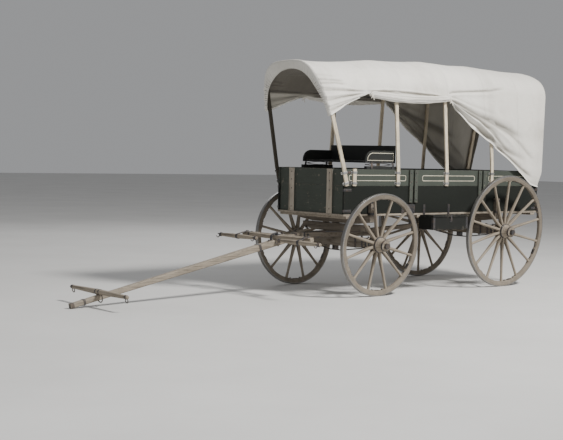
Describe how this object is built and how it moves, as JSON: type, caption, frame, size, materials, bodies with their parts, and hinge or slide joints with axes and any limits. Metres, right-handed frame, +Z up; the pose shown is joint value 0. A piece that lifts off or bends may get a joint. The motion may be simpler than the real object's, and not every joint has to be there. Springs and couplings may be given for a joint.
{
  "type": "covered wagon",
  "caption": "Farm wagon with a hollow plank box, bowed canvas top gathered at the ends and rolled up along the sides, spoked wheels, seat, tool box and a draught tongue.",
  "frame": {"origin": "on the ground, midway between the front of the lowered tongue's tip and the back of the canvas, on the middle plane", "axes": "+X towards the rear, the wagon heads along -X, +Y its far (right) side, +Z up"},
  "size_m": [6.3636, 1.746, 2.6333],
  "materials": {
    "iron": "satin",
    "bright_iron": "satin",
    "gear_wood": "matte",
    "wheel_wood": "matte",
    "tongue_wood": "matte",
    "box_paint": "satin",
    "floor_wood": "matte",
    "ash": "satin",
    "canvas": "matte",
    "seat_paint": "satin"
  },
  "bodies": {
    "wagon": {"front_bolster": "gear_wood", "king_pin": "iron", "reach": "gear_wood", "rear_axle": "gear_wood", "rear_skeins": "iron", "rear_bolster": "gear_wood", "rear_hounds": "gear_wood", "box_floor": "floor_wood", "floor_sills": "floor_wood", "lower_side_left": "box_paint", "lower_side_right": "box_paint", "upper_side_left": "box_paint", "upper_side_right": "box_paint", "front_gate": "box_paint", "gate_cleats": "box_paint", "side_cleats": "box_paint", "rub_irons": "iron", "bow_front": "ash", "bow_second": "ash", "bow_third": "ash", "bow_fourth": "ash", "bow_fifth": "ash", "bow_rear": "ash", "bow_staples": "bright_iron", "cover": "canvas", "seat": "seat_paint", "seat_rails": "seat_paint", "seat_springs": "iron", "tool_box": "box_paint", "tool_box_straps": "iron"},
    "front_gear": {"front_axle": "gear_wood", "front_skeins": "iron", "sand_board": "gear_wood", "front_hounds": "gear_wood", "sway_bar": "gear_wood", "tongue_pin": "iron"},
    "tongue": {"tongue": "tongue_wood", "neck_yoke": "tongue_wood", "evener_pin": "iron"},
    "evener": {"evener": "tongue_wood"},
    "singletree_left": {"singletree_left": "tongue_wood"},
    "singletree_right": {"singletree_right": "tongue_wood"},
    "rear_gate": {"rear_gate": "box_paint"},
    "tool_box_lid": {"tool_box_lid": "box_paint"},
    "wheel_front_left": {"wheel_front_left_tyre": "iron", "wheel_front_left_felloes": "wheel_wood", "wheel_front_left_spokes": "wheel_wood", "wheel_front_left_hub": "wheel_wood"},
    "wheel_front_right": {"wheel_front_right_tyre": "iron", "wheel_front_right_felloes": "wheel_wood", "wheel_front_right_spokes": "wheel_wood", "wheel_front_right_hub": "wheel_wood"},
    "wheel_rear_left": {"wheel_rear_left_tyre": "iron", "wheel_rear_left_felloes": "wheel_wood", "wheel_rear_left_spokes": "wheel_wood", "wheel_rear_left_hub": "wheel_wood"},
    "wheel_rear_right": {"wheel_rear_right_tyre": "iron", "wheel_rear_right_felloes": "wheel_wood", "wheel_rear_right_spokes": "wheel_wood", "wheel_rear_right_hub": "wheel_wood"}
  },
  "joints": [
    {"name": "steering", "type": "hinge", "parent": "wagon", "child": "front_gear", "pos_m": [0.17766, 0, 0.61731], "axis": [0, 0, 1], "range_deg": [-16, 16]},
    {"name": "tongue_lift", "type": "hinge", "parent": "front_gear", "child": "tongue", "pos_m": [-0.31234, 0, 0.64231], "axis": [0, 1, 0], "range_deg": [0, 30]},
    {"name": "evener_swing", "type": "hinge", "parent": "tongue", "child": "evener", "pos_m": [-0.6667, 0, 0.62529], "axis": [-0.2107, 0, 0.9776], "range_deg": [-15, 15]},
    {"name": "singletree_left_swing", "type": "hinge", "parent": "evener", "child": "singletree_left", "pos_m": [-0.6667, -0.53, 0.62529], "axis": [-0.2107, 0, 0.9776], "range_deg": [-12, 12]},
    {"name": "singletree_right_swing", "type": "hinge", "parent": "evener", "child": "singletree_right", "pos_m": [-0.6667, 0.53, 0.62529], "axis": [-0.2107, 0, 0.9776], "range_deg": [-12, 12]},
    {"name": "wheel_front_left_spin", "type": "hinge", "parent": "front_gear", "child": "wheel_front_left", "pos_m": [0.17766, -0.686, 0.56231], "axis": [0, -0.9976, -0.0698], "continuous": true},
    {"name": "wheel_front_right_spin", "type": "hinge", "parent": "front_gear", "child": "wheel_front_right", "pos_m": [0.17766, 0.686, 0.56231], "axis": [0, 0.9976, -0.0698], "continuous": true},
    {"name": "wheel_rear_left_spin", "type": "hinge", "parent": "wagon", "child": "wheel_rear_left", "pos_m": [2.21766, -0.686, 0.66307], "axis": [0, -0.9976, -0.0698], "continuous": true},
    {"name": "wheel_rear_right_spin", "type": "hinge", "parent": "wagon", "child": "wheel_rear_right", "pos_m": [2.21766, 0.686, 0.66307], "axis": [0, 0.9976, -0.0698], "continuous": true},
    {"name": "rear_gate_lift", "type": "slide", "parent": "wagon", "child": "rear_gate", "axis": [0, 0, 1], "range_m": [0, 0.3]},
    {"name": "tool_box_lid_open", "type": "hinge", "parent": "wagon", "child": "tool_box_lid", "pos_m": [1.20766, -0.5813, 0.859], "axis": [-1, 0, 0], "range_deg": [0, 90]}
  ]
}
